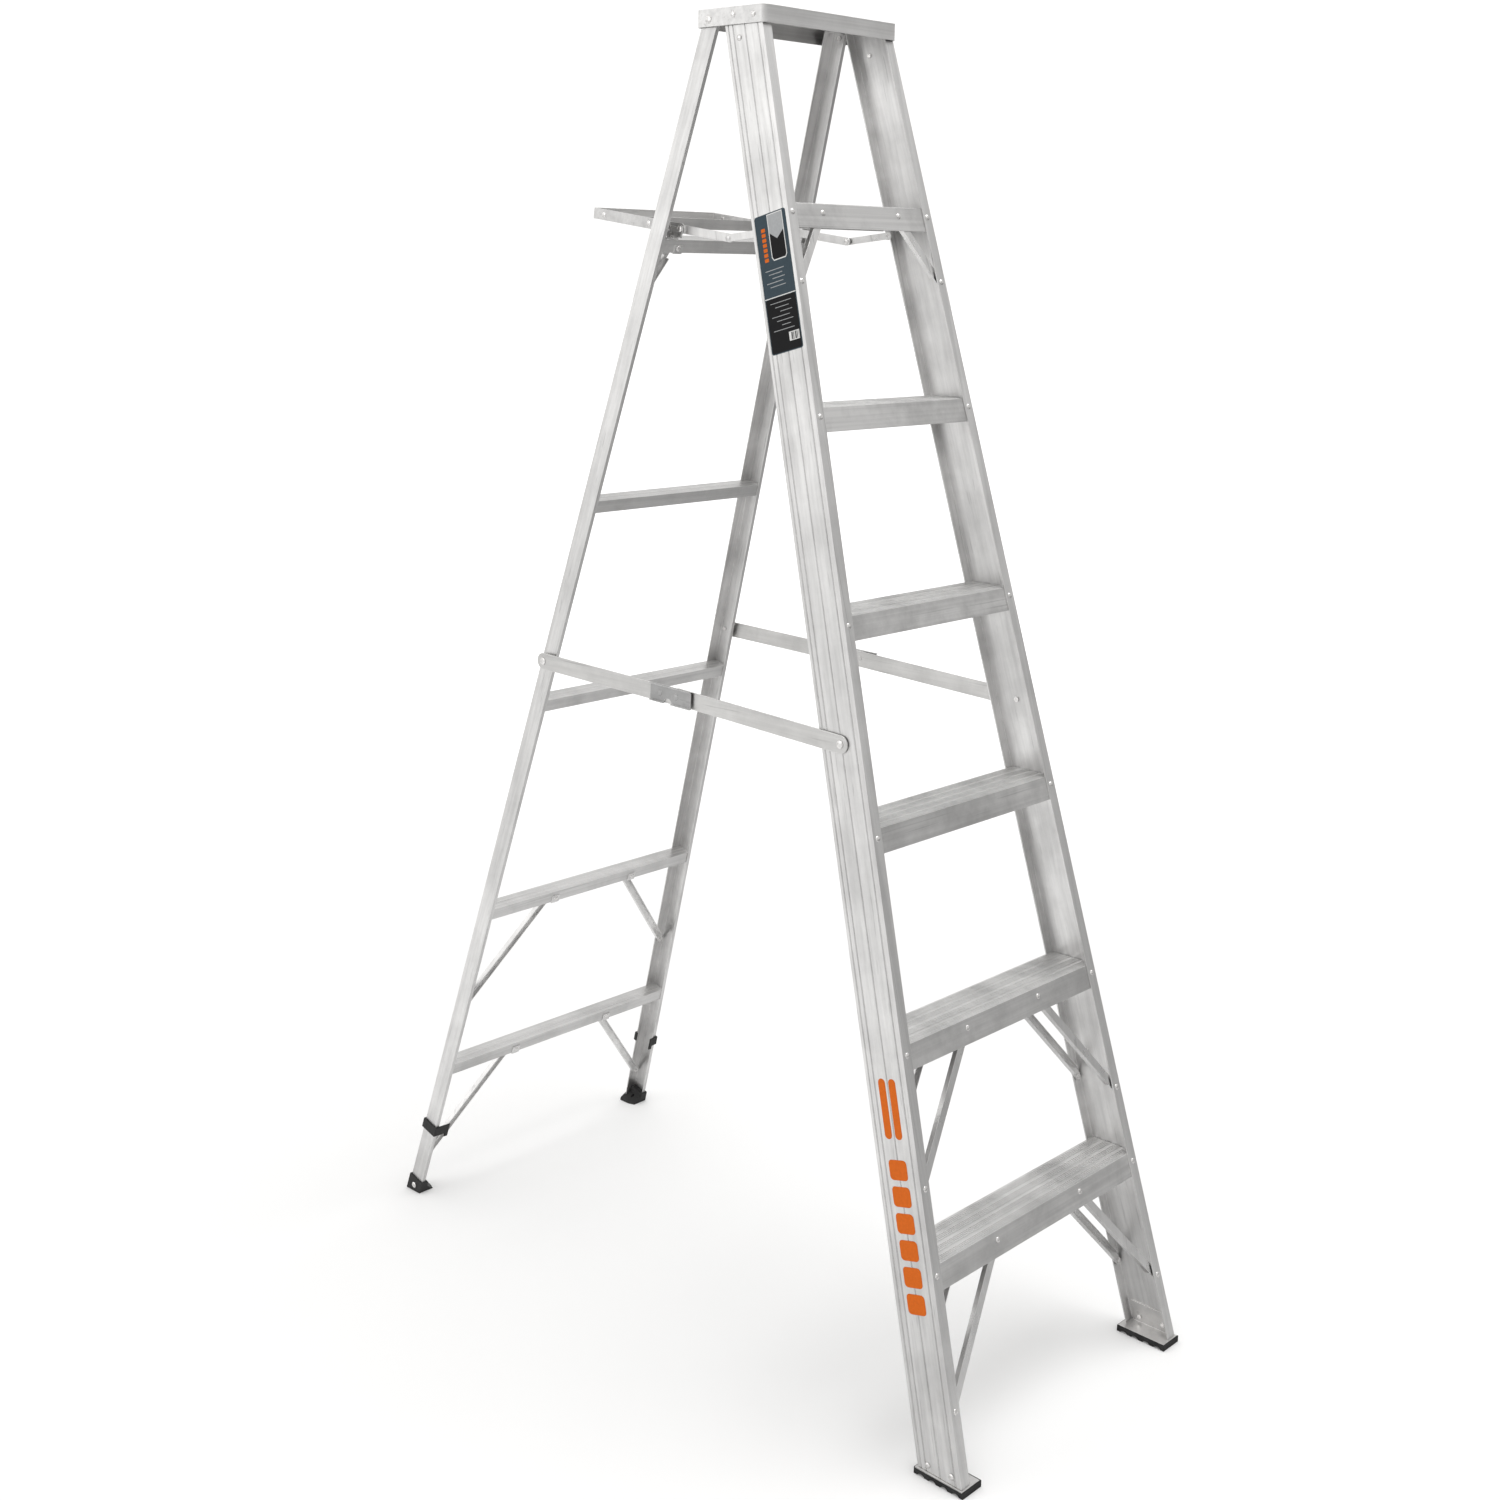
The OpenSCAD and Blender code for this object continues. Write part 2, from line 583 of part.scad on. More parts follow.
// Black plastic clip round each rear rail, with an arm that reaches inwards in front of it
clip_h = 18;
module rear_clip(s, arm, t) {
    d = rear_depth / 2;
    place() side(s) rear_frame() rear_rail_frame(t) color([0.06, 0.06, 0.06])
        translate([0, 0, -clip_h / 2]) {
            translate([0.1, -d - 2.9, 0]) cube([2.8, 2 * d + 5.8, clip_h]);
            translate([-arm, -d - 2.9, 0]) cube([arm + 2.9, 2.8, clip_h]);
            translate([-arm, -d - 2.9, -7]) cube([7, 2.8, clip_h + 7]);
            translate([-rear_flange - 2.8, d + 0.1, 0]) cube([rear_flange + 5.7, 2.8, clip_h]);
            translate([-rear_flange - 2.8, d - 3.6, 0]) cube([2.6, 4, clip_h]);
        }
}

// Black plastic boot on each rear rail, with a toe that points inwards
module rear_foot(s) {
    d = rear_depth / 2;
    boot_top = 26;
    place() side(s) color([0.06, 0.06, 0.06]) intersection() {
        rear_frame() difference() {
            rear_rail_frame(rear_len) rotate([90, 0, 0])
                linear_extrude(height = 2 * (d + boot_wall), center = true)
                    polygon([[boot_wall, -20], [boot_wall, boot_top], [-12, boot_top], [-13.5, 16],
                        [-33, 4], [-33, -20]]);
            rear_rail_frame(rear_len) translate([0, -d - 0.15, -30]) linear_extrude(height = 80) {
                translate([-rear_wall - 0.15, 0]) square([rear_wall + 0.3, rear_depth + 0.3]);
                translate([-rear_lip - 0.15, 0]) square([rear_lip + 0.3, rear_wall + 0.3]);
                translate([-rear_flange - 0.15, rear_depth - rear_wall]) square([rear_flange + 0.3, rear_wall + 0.3]);
            }
            rod_x(rear_x(rear_len - 12), 0, 12 - rear_len, 60, rivet_r + rivet_gap);
        }
        level_slab(0, 60);
    }
    place() side(s) color([0.06, 0.06, 0.06]) intersection() {
        rear_frame() rear_rail_frame(rear_len) translate([-20, -d - 1, -20]) cube([21.5, 2 * d + 2, 60]);
        level_slab(0, boot_base - 0.1);
    }
}

module rear_rivets() {
    d = rear_depth / 2;
    place() rear_frame() color("white") for (s = [-1, 1]) side(s) {
        for (k = [0:4]) {
            rivet_y(rear_x(bar_t[k]) - bar_rivet_in, d, -bar_t[k] - bar_h / 2, -rear_wall - bar_wall - 0.7);
            if (rear_brace_drop[k] > 0) {
                rivet_y(rear_brace_x[k] + brace_tab_shift, brace_tab_m, brace_lip_rivet - bar_t[k] - bar_h,
                    brace_t + bar_wall + 0.2);
                t = brace_foot_t(k);
                rivet_y(rear_x(t) - bar_rivet_in, d, -t, brace_m - 0.1 - d);
            }
        }
        translate([rear_x(rear_len - 12) + boot_wall + 0.5, 0, 12 - rear_len])
            rotate([0, 90, 0]) stud(boot_wall + rear_wall + 2.9, 5.5);
        translate([150, 0, 2.1 - bar_t[4]]) rivet(2.2 + bar_wall);
    }
}

// Rear pins of the spreaders and hinge pins of the tray
module rear_pivot_pins() {
    place() color("white") for (s = [-1, 1]) side(s) {
        translate([spread_rear_x + spreader_t + 0.3, spread_rear[0], spread_rear[1]])
            rotate([0, 90, 0]) rivet(spread_rear_x + spreader_t + 0.3 - 212.8, 6.5, rivet_r);
        washer(spread_rear, 215.9, spread_rear_x - 0.2, 6);
        translate([tray_half_w + 2.6, tray_hinge[0], tray_hinge[1]])
            rotate([0, 90, 0]) rivet(7, 5, rivet_r);
    }
}

// Angle brackets on the top rear bar that carry the tray
module tray_hinge_brackets() {
    x0 = tray_half_w + 0.5;
    top = 3.2 - bar_t[4];
    place() rear_frame() color("silver") for (s = [-1, 1]) side(s) difference() {
        union() {
            translate([x0, -11, 0.1 - bar_t[4]]) cube([17, 22, 2]);
            translate([x0, tray_hinge_m, 0.1 - bar_t[4]]) cube([2, 11 - tray_hinge_m, 8]);
            translate([x0, tray_hinge_m - 6.5, 6 - bar_t[4]]) cube([2, 24, 14]);
            rod_x(x0 + 1, tray_hinge_m, -tray_hinge_t, 2, 6.5);
        }
        rod_x(x0, tray_hinge_m, -tray_hinge_t, 12, rivet_r + rivet_gap);
        translate([150, 0, top]) cylinder(h = 12, r = rivet_r + rivet_gap, center = true);
    }
}

// ---------------------------------------------------------------- spreaders

// Front bar, with the flush end of its centre pivot on the inner face
module spreader_front(s) {
    place() side(s) color("lightgray") {
        strap(spread_front, spread_mid, spreader_w, spread_front_x, spreader_t, pin_r + pin_gap, 0);
        washer(spread_mid, spread_front_x - 1.2, spread_front_x + 1, 5);
    }
}

// Rear bar, with holes for the two rivets of its lock plate
module spreader_rear(s) {
    place() side(s) color("lightgray") difference() {
        strap(spread_mid, spread_rear, spreader_w, spread_rear_x, spreader_t, rivet_r + rivet_gap,
            rivet_r + pin_gap);
        spreader_rear_frame() rod_x(spread_rear_x, lock_rivet_pitch, 0, 40, rivet_r + rivet_gap);
    }
}

// Frame at the centre pivot whose y runs back along the rear bar
module spreader_rear_frame() {
    ang = atan2(spread_rear[1] - spread_mid[1], spread_rear[0] - spread_mid[0]);
    translate([0, spread_mid[0], spread_mid[1]]) rotate([ang, 0, 0]) children();
}

// Lock plate on the rear bar, folded outwards along its edges, with a finger notch and two rivets
lock_front = -32;
lock_len = 89;
lock_rivet_pitch = 36;
module spreader_lock(s) {
    w = spreader_w + 1;
    place() side(s) color("silver") spreader_rear_frame() translate([lock_x, 0, 0]) {
        difference() {
            union() {
                translate([0, lock_front, -w / 2]) cube([1.6, lock_len, w]);
                for (z = [-w / 2, w / 2 - 1.4]) translate([0, lock_front, z]) cube([4.5, lock_len, 1.4]);
            }
            translate([0, lock_rivet_pitch / 2, -w / 2]) rod_x(0, 0, 0, 30, 8.5);
            rod_x(0, lock_rivet_pitch, 0, 30, rivet_r + rivet_gap);
            rod_x(0, 0, 0, 30, rivet_r + rivet_gap);
        }
        for (y = [0, lock_rivet_pitch]) translate([1.6, y, 0]) rotate([0, 90, 0])
            stud(4.1, 5.2);
    }
}

// ---------------------------------------------------------------- tray

// Tray frame: y runs back from the hinge along the open tray, z is square to it
module tray_frame() { translate([0, tray_hinge[0], tray_hinge[1]]) rotate([tray_tilt, 0, 0]) children(); }

tray_rivet_y = [26, 73, 179];
arm_back = 34;
module tray() {
    h = tray_h / 2;
    place() tray_frame() color("lightgray") difference() {
        union() {
            for (s = [-1, 1]) side(s) {
                translate([tray_half_w - tray_wall, 0, -h]) cube([tray_wall, tray_len, tray_h]);
                rod_x(tray_half_w - tray_wall / 2, 0, 0, tray_wall, h);
            }
            translate([-tray_half_w, tray_pan_front, -h]) cube([2 * tray_half_w, tray_len - tray_pan_front, tray_wall]);
            for (y = [tray_pan_front, tray_len - tray_wall])
                translate([-tray_half_w, y, -h]) cube([2 * tray_half_w, tray_wall, tray_h]);
        }
        rod_x(0, 0, 0, 400, rivet_r + pin_gap);
        for (y = tray_rivet_y) rod_x(0, y, 0, 400, rivet_r + rivet_gap);
    }
}

// Arm that carries the tray's hinge forward to its link
module tray_arm(s) {
    place() side(s) tray_frame() color("silver") difference() {
        union() {
            translate([arm_x, -tray_arm_len, -arm_w / 2]) cube([arm_t, tray_arm_len + arm_back, arm_w]);
            translate([arm_x + arm_t / 2, -tray_arm_len, 0]) rod_x(0, 0, 0, arm_t, arm_w / 2);
        }
        rod_x(0, 0, 0, 400, rivet_r + pin_gap);
        rod_x(0, tray_rivet_y[0], 0, 400, rivet_r + rivet_gap);
    }
}

module tray_rivets() {
    place() tray_frame() color("white") for (s = [-1, 1]) side(s) {
        for (y = tray_rivet_y) translate([tray_half_w, y, 0]) rotate([0, 90, 0])
            rivet(y < arm_back ? tray_wall + arm_t + 0.2 : tray_wall + 0.1, rivet_head_r, rivet_r, 1.5);
        translate([arm_x, -tray_arm_len, 0]) rotate([0, -90, 0])
            rotate_extrude() polygon([for (a = [0:15:90]) [4.4 * cos(a), 1.8 * sin(a)], [0, 0]]);
    }
}

// Link from the top step to the end of the tray's arm
module tray_link(s) {
    place() side(s) color("silver") {
        strap(tray_link_foot, tray_elbow, link_w, link_x, link_t, rivet_r + pin_gap, rivet_r + rivet_gap);
        translate([link_x + link_t, tray_elbow[0], tray_elbow[1]]) rotate([0, 90, 0])
            stud(link_t - 0.1, 5);
    }
}

top_cap();
front_rail(-1);  // front_rail_left
front_rail(1);  // front_rail_right
step(0);  // step_1
step(1);  // step_2
step(2);  // step_3
step(3);  // step_4
step(4);  // step_5
step(5);  // step_6
front_brace(0, -1);  // brace_1_front_left
front_brace(0, 1);  // brace_1_front_right
rear_step_brace(0, -1);  // brace_1_rear_left
rear_step_brace(0, 1);  // brace_1_rear_right
front_brace(1, -1);  // brace_2_front_left
front_brace(1, 1);  // brace_2_front_right
rear_step_brace(1, -1);  // brace_2_rear_left
rear_step_brace(1, 1);  // brace_2_rear_right
front_brace(5, -1);  // brace_6_front_left
front_brace(5, 1);  // brace_6_front_right
foot_plate(-1);  // foot_plate_left
foot_plate(1);  // foot_plate_right
foot_pad(-1);  // foot_pad_left
foot_pad(1);  // foot_pad_right
front_rivets();
front_pivot_pins();
rating_label();
tray_step_brackets();
rear_rail(-1);  // rear_rail_left
rear_rail(1);  // rear_rail_right
rear_bar(0);  // rear_bar_1
rear_bar(1);  // rear_bar_2
rear_bar(2);  // rear_bar_3
rear_bar(3);  // rear_bar_4
rear_bar(4);  // rear_bar_5
rear_brace(0, -1);  // rear_brace_1_left
rear_brace(0, 1);  // rear_brace_1_right
rear_brace(1, -1);  // rear_brace_2_left
rear_brace(1, 1);  // rear_brace_2_right
rear_brace(4, -1);  // rear_brace_5_left
rear_brace(4, 1);  // rear_brace_5_right
rear_clip(-1, 30, 1988);  // rear_clip_left
rear_clip(1, 16, 1971);  // rear_clip_right
rear_foot(-1);  // rear_foot_left
rear_foot(1);  // rear_foot_right
rear_rivets();
rear_pivot_pins();
tray_hinge_brackets();
spreader_front(-1);  // spreader_front_left
spreader_front(1);  // spreader_front_right
spreader_rear(-1);  // spreader_rear_left
spreader_rear(1);  // spreader_rear_right
spreader_lock(-1);  // spreader_lock_left
spreader_lock(1);  // spreader_lock_right
tray();
tray_arm(-1);  // tray_arm_left
tray_arm(1);  // tray_arm_right
tray_rivets();
tray_link(-1);  // tray_link_left
tray_link(1);  // tray_link_right
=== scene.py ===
"""Looks of a folding aluminium stepladder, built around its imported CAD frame.

X runs across the steps, Y from the climbing side to the back, Z up, in metres.
The file follows the ladder as it is put together: front section, feet, labels,
rear section, spreaders, tray, and last the studio.
"""

import json
import math

import bmesh
import bpy
from mathutils import Matrix, Vector


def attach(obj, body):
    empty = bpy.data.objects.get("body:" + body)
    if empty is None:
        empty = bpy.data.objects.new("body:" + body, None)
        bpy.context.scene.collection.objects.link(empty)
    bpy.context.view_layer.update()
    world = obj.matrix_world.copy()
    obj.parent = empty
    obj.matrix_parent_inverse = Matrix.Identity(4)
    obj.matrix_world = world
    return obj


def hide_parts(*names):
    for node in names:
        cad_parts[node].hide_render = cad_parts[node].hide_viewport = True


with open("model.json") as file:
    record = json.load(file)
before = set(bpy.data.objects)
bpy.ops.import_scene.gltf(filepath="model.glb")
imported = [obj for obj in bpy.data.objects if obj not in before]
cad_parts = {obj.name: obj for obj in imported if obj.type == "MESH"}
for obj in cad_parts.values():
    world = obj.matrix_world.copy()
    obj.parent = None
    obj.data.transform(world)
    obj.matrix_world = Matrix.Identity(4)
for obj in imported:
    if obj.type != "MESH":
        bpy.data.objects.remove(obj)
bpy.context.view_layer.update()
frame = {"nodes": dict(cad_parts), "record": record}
nodes = frame["nodes"]

# Front rails
# Two extruded aluminium channels, mill finish: long drawing lines from the die, cloudy oxide
# and a few rubbed scratches. Their webs face outwards and their flanges inwards.
front_lean = math.radians(15.2)
base_half_width = 0.279
rail_slope = math.radians(3.47)
front_foot_y = -0.62974


def noise(tree, vector, scale, detail=4.0, roughness=0.55):
    node = tree.nodes.new("ShaderNodeTexNoise")
    node.inputs["Scale"].default_value = scale
    node.inputs["Detail"].default_value = detail
    node.inputs["Roughness"].default_value = roughness
    tree.links.new(vector, node.inputs["Vector"])
    return node.outputs["Fac"]


def stretched(tree, vector, stretch):
    node = tree.nodes.new("ShaderNodeMapping")
    node.inputs["Scale"].default_value = stretch
    tree.links.new(vector, node.inputs["Vector"])
    return node.outputs["Vector"]


def turned(tree, about_x):
    coords = tree.nodes.new("ShaderNodeTexCoord")
    node = tree.nodes.new("ShaderNodeMapping")
    node.inputs["Rotation"].default_value = (about_x, 0, 0)
    tree.links.new(coords.outputs["Object"], node.inputs["Vector"])
    return node.outputs["Vector"]


def ranged(tree, value, low, high, to_low, to_high):
    node = tree.nodes.new("ShaderNodeMapRange")
    for name, number in zip(("From Min", "From Max", "To Min", "To Max"), (low, high, to_low, to_high)):
        node.inputs[name].default_value = number
    tree.links.new(value, node.inputs["Value"])
    return node.outputs["Result"]


def multiplied(tree, a, b):
    node = tree.nodes.new("ShaderNodeMath")
    node.operation = "MULTIPLY"
    tree.links.new(a, node.inputs[0])
    tree.links.new(b, node.inputs[1])
    return node.outputs["Value"]


def tinted(tree, shade, dark, light):
    node = tree.nodes.new("ShaderNodeMix")
    node.data_type = "RGBA"
    node.inputs["A"].default_value = (*dark, 1)
    node.inputs["B"].default_value = (*light, 1)
    tree.links.new(shade, node.inputs["Factor"])
    return node.outputs["Result"]


def bumped(tree, height, strength, depth, edge=0.0007):
    """Fine relief over edges that are rounded off by edge metres."""
    soft = tree.nodes.new("ShaderNodeBevel")
    soft.samples = 6
    soft.inputs["Radius"].default_value = edge
    node = tree.nodes.new("ShaderNodeBump")
    node.inputs["Strength"].default_value = strength
    node.inputs["Distance"].default_value = depth
    tree.links.new(height, node.inputs["Height"])
    tree.links.new(soft.outputs["Normal"], node.inputs["Normal"])
    return node.outputs["Normal"]


def worn_edges(tree, reach, patchy):
    """1 along outside edges and 0 on the flats, broken up by the patchy noise."""
    soft = tree.nodes.new("ShaderNodeBevel")
    soft.samples = 6
    soft.inputs["Radius"].default_value = reach
    plain = tree.nodes.new("ShaderNodeNewGeometry")
    match = tree.nodes.new("ShaderNodeVectorMath")
    match.operation = "DOT_PRODUCT"
    tree.links.new(soft.outputs["Normal"], match.inputs[0])
    tree.links.new(plain.outputs["True Normal"], match.inputs[1])
    return multiplied(tree, ranged(tree, match.outputs["Value"], 0.99, 0.86, 0.0, 1.0),
                      ranged(tree, patchy, 0.35, 0.6, 0.35, 1.0))


def groove_shade(tree, place, depths):
    """Painted shade: dark lines on a rail's outer web along its grooves, at depths in metres behind its
    front face.
    """
    half_width, darkest = 0.0012, 0.45
    behind = tree.nodes.new("ShaderNodeSeparateXYZ")
    tree.links.new(place, behind.inputs["Vector"])
    coords = tree.nodes.new("ShaderNodeTexCoord")
    facing = tree.nodes.new("ShaderNodeSeparateXYZ")
    tree.links.new(coords.outputs["Normal"], facing.inputs["Vector"])
    outer = ranged(tree, multiplied(tree, behind.outputs["X"], facing.outputs["X"]), 0.0, 0.05, 0.0, 1.0)
    shade = None
    for depth in depths:
        groove = tree.nodes.new("ShaderNodeMath")
        groove.operation = "COMPARE"
        groove.inputs[1].default_value = depth + front_foot_y * math.cos(front_lean)
        groove.inputs[2].default_value = half_width
        tree.links.new(behind.outputs["Y"], groove.inputs[0])
        line = ranged(tree, multiplied(tree, groove.outputs["Value"], outer), 0.0, 1.0, 1.0, darkest)
        shade = multiplied(tree, shade, line) if shade else line
    return shade


def mill_aluminium(name, light, lean=0.0, grain=(90, 90, 1.1), cloud=0.22, gloss=(0.30, 0.46), lines_at=()):
    """Bare aluminium. light is its clean colour, lean turns the grain onto a leaning piece, grain
    is the noise's scale along each axis, cloud the depth of the oxide, gloss the roughness of clean
    and of oxidised metal, and lines_at the depths of the grooves that get painted shade lines."""
    material = bpy.data.materials.new(name)
    material.use_nodes = True
    tree = material.node_tree
    shader = tree.nodes["Principled BSDF"]
    shader.inputs["Metallic"].default_value = 1.0
    place = turned(tree, lean)
    lines = noise(tree, stretched(tree, place, grain), 1.0, 6.0, 0.65)
    fine = noise(tree, stretched(tree, place, tuple(g * 7 for g in grain)), 1.0, 3.0, 0.6)
    marks = noise(tree, stretched(tree, place, tuple(g * 2.5 for g in grain)), 1.0, 2.0, 0.4)
    oxide = noise(tree, place, 11.0, 6.0, 0.62)
    smudge = noise(tree, place, 3.1, 3.0, 0.5)
    shade = multiplied(tree, ranged(tree, lines, 0.34, 0.62, 0.72, 1.0),
                       ranged(tree, oxide, 0.36, 0.60, 1.0 - cloud, 1.0))
    shade = multiplied(tree, shade, ranged(tree, smudge, 0.34, 0.55, 1.0 - cloud * 0.6, 1.0))
    shade = multiplied(tree, shade, ranged(tree, marks, 0.68, 0.72, 1.0, 0.72))
    # Painted shade in the grooves, mixed towards the same dark colour as the oxide and grain.
    if lines_at:
        shade = multiplied(tree, shade, groove_shade(tree, place, lines_at))
    dark_tone_and_groove_shade = tuple(c * 0.36 for c in light)
    worn = tree.nodes.new("ShaderNodeMix")
    worn.data_type = "RGBA"
    worn.inputs["B"].default_value = (0.95, 0.95, 0.94, 1)
    tree.links.new(worn_edges(tree, 0.0011, oxide), worn.inputs["Factor"])
    tree.links.new(tinted(tree, shade, dark_tone_and_groove_shade, light), worn.inputs["A"])
    tree.links.new(worn.outputs["Result"], shader.inputs["Base Color"])
    tree.links.new(ranged(tree, oxide, 0.35, 0.65, gloss[1], gloss[0]), shader.inputs["Roughness"])
    tree.links.new(bumped(tree, fine, 0.28, 0.0002), shader.inputs["Normal"])
    return material


def coat(material, *names):
    for name in names:
        mesh = nodes[name].data
        mesh.materials.clear()
        mesh.materials.append(material)


# The four depths put painted shade lines along the grooves of each outer web.
rail_metal = mill_aluminium("rail_mill_finish", (0.86, 0.855, 0.85), front_lean,
                            lines_at=(0.01025, 0.03625, 0.06025, 0.06925))
coat(rail_metal, "front_rail_left", "front_rail_right")

# Steps
# Extruded treads with fine ribs and a riveted apron front and back. Their grain runs across the
# ladder, and they are cloudier and duller than the rails from being walked on.
step_metal = mill_aluminium("step_mill_finish", (0.82, 0.815, 0.81), 0.0, (1.3, 110, 110), 0.42,
                            (0.34, 0.52))
coat(step_metal, *[f"step_{i}" for i in range(1, 7)])

# Step braces and brackets
# Narrow pressed strips, brighter and glossier than the steps.
brace_metal = mill_aluminium("brace_pressed_strip", (0.88, 0.875, 0.87), front_lean, (40, 40, 6), 0.16,
                             (0.24, 0.40))
coat(brace_metal, *[n for n in nodes if n.startswith("brace_") or n.startswith("rear_brace_")])
coat(brace_metal, "tray_step_brackets", "tray_hinge_brackets")

# Top cap
# Folded sheet over both rails, its skirts brushed lengthwise and its upper face scuffed.
body_of = {}
for body_name, its_nodes in frame["record"]["behaviour"]["bodies"].items():
    for its_node in its_nodes:
        body_of[its_node] = body_name


def eased_copy(node_name, piece_name, material, width):
    """A copy of a CAD node with its folded or moulded edges eased by width, within the node's box."""
    source = nodes[node_name]
    corners = [v.co for v in source.data.vertices]
    low = [min(c[axis] for c in corners) for axis in range(3)]
    high = [max(c[axis] for c in corners) for axis in range(3)]
    piece = bpy.data.objects.new(piece_name, source.data.copy())
    bpy.context.scene.collection.objects.link(piece)
    shape = bmesh.new()
    shape.from_mesh(piece.data)
    bmesh.ops.remove_doubles(shape, verts=shape.verts, dist=0.00001)
    bmesh.ops.dissolve_limit(shape, angle_limit=0.01, verts=shape.verts, edges=shape.edges)
    sharp = 0.5
    folds = [e for e in shape.edges if len(e.link_faces) == 2 and e.calc_face_angle() > sharp
             and e.calc_length() > width * 3]
    bmesh.ops.bevel(shape, geom=folds, offset=width, offset_type="OFFSET", affect="EDGES",
                    segments=2, profile=0.5, material=-1, clamp_overlap=True)
    for vert in shape.verts:
        vert.co = [min(max(c, a), b) for c, a, b in zip(vert.co, low, high)]
    shape.to_mesh(piece.data)
    shape.free()
    piece.data.materials.clear()
    piece.data.materials.append(material)
    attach(piece, body_of[node_name])
    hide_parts(node_name)


cap_metal = mill_aluminium("cap_brushed_sheet", (0.83, 0.825, 0.82), 0.0, (1.5, 90, 90), 0.18, (0.28, 0.44))
eased_copy("top_cap", "cap_shell", cap_metal, 0.0007)

# Rivets and pins
# Bright domed steel heads with a little tarnish.
rivet_metal = bpy.data.materials.new("rivet_bright_steel")
rivet_metal.use_nodes = True
rivet_tree = rivet_metal.node_tree
rivet_shader = rivet_tree.nodes["Principled BSDF"]
rivet_shader.inputs["Metallic"].default_value = 1.0
rivet_tarnish = noise(rivet_tree, turned(rivet_tree, 0.0), 420.0, 4.0, 0.6)
rivet_colour = tinted(rivet_tree, ranged(rivet_tree, rivet_tarnish, 0.35, 0.6, 0.0, 1.0),
                      (0.62, 0.61, 0.60), (0.93, 0.92, 0.91))
rivet_rough = ranged(rivet_tree, rivet_tarnish, 0.3, 0.7, 0.28, 0.14)
rivet_tree.links.new(rivet_colour, rivet_shader.inputs["Base Color"])
rivet_tree.links.new(rivet_rough, rivet_shader.inputs["Roughness"])
rivet_tree.links.new(bumped(rivet_tree, rivet_tarnish, 0.15, 0.0002), rivet_shader.inputs["Normal"])
coat(rivet_metal, "front_rivets", "rear_rivets", "tray_rivets", "front_pivot_pins", "rear_pivot_pins")

# Feet
# Aluminium shoe plates riveted into the front rails, over moulded rubber pads with a wavy tread.
shoe_metal = mill_aluminium("shoe_plate", (0.80, 0.79, 0.78), 0.0, (30, 30, 30), 0.35, (0.34, 0.52))
coat(shoe_metal, "foot_plate_left", "foot_plate_right")


def moulded_black(name, colour, roughness, speckle, grain):
    """Black rubber or plastic with a moulded texture and dusty patches."""
    material = bpy.data.materials.new(name)
    material.use_nodes = True
    tree = material.node_tree
    shader = tree.nodes["Principled BSDF"]
    shader.inputs["Specular IOR Level"].default_value = 0.35
    place = turned(tree, 0.0)
    dust = noise(tree, place, 38.0, 5.0, 0.6)
    pores = noise(tree, place, grain, 3.0, 0.5)
    tree.links.new(tinted(tree, ranged(tree, dust, 0.45, 0.72, 0.0, 1.0), colour,
                          tuple(c + speckle for c in colour)), shader.inputs["Base Color"])
    tree.links.new(ranged(tree, dust, 0.3, 0.7, roughness, roughness + 0.18), shader.inputs["Roughness"])
    tree.links.new(bumped(tree, pores, 0.35, 0.0003), shader.inputs["Normal"])
    return material


pad_rubber = moulded_black("pad_rubber", (0.014, 0.014, 0.014), 0.62, 0.035, 900.0)
for side_name in ("left", "right"):
    eased_copy(f"foot_pad_{side_name}", f"pad_{side_name}", pad_rubber, 0.0005)

# Labels
# A printed film panel high on the left rail and a row of plain orange blocks low on it. Each
# mark is a thin film of its own, laid on the rail's outer web.


def on_left_web(depth, up, proud=0.0):
    """A point on the left rail's outer web: depth behind its front face, up along the rail."""
    across = -(base_half_width - math.tan(rail_slope) * up) - proud
    return Vector((across, front_foot_y + depth * math.cos(front_lean) + up * math.sin(front_lean),
                   up * math.cos(front_lean) - depth * math.sin(front_lean)))


def film(piece_name, outlines, proud, thickness, material):
    """Thin film patches; each outline is a loop of (depth, up) points on the web."""
    shape = bmesh.new()
    for outline in outlines:
        loop = [shape.verts.new(on_left_web(d, u, proud)) for d, u in outline]
        patch = shape.faces.new(loop)
        patch.normal_update()
        if patch.normal.x > 0:
            patch.normal_flip()
        lifted = bmesh.ops.extrude_face_region(shape, geom=[patch])
        moved = [g for g in lifted["geom"] if isinstance(g, bmesh.types.BMVert)]
        bmesh.ops.translate(shape, verts=moved, vec=(-thickness, 0, 0))
    bmesh.ops.recalc_face_normals(shape, faces=shape.faces)
    mesh = bpy.data.meshes.new(piece_name)
    shape.to_mesh(mesh)
    shape.free()
    piece = bpy.data.objects.new(piece_name, mesh)
    bpy.context.scene.collection.objects.link(piece)
    mesh.materials.append(material)
    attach(piece, "front_section")


def rounded(d0, d1, u0, u1, corner, steps=4):
    """A rectangle with rounded corners, as (depth, up) points."""
    points = []
    for cd, cu, start in ((d1 - corner, u1 - corner, 0), (d0 + corner, u1 - corner, 90),
                          (d0 + corner, u0 + corner, 180), (d1 - corner, u0 + corner, 270)):
        for k in range(steps + 1):
            angle = math.radians(start + 90 * k / steps)
            points.append((cd + corner * math.cos(angle), cu + corner * math.sin(angle)))
    return points


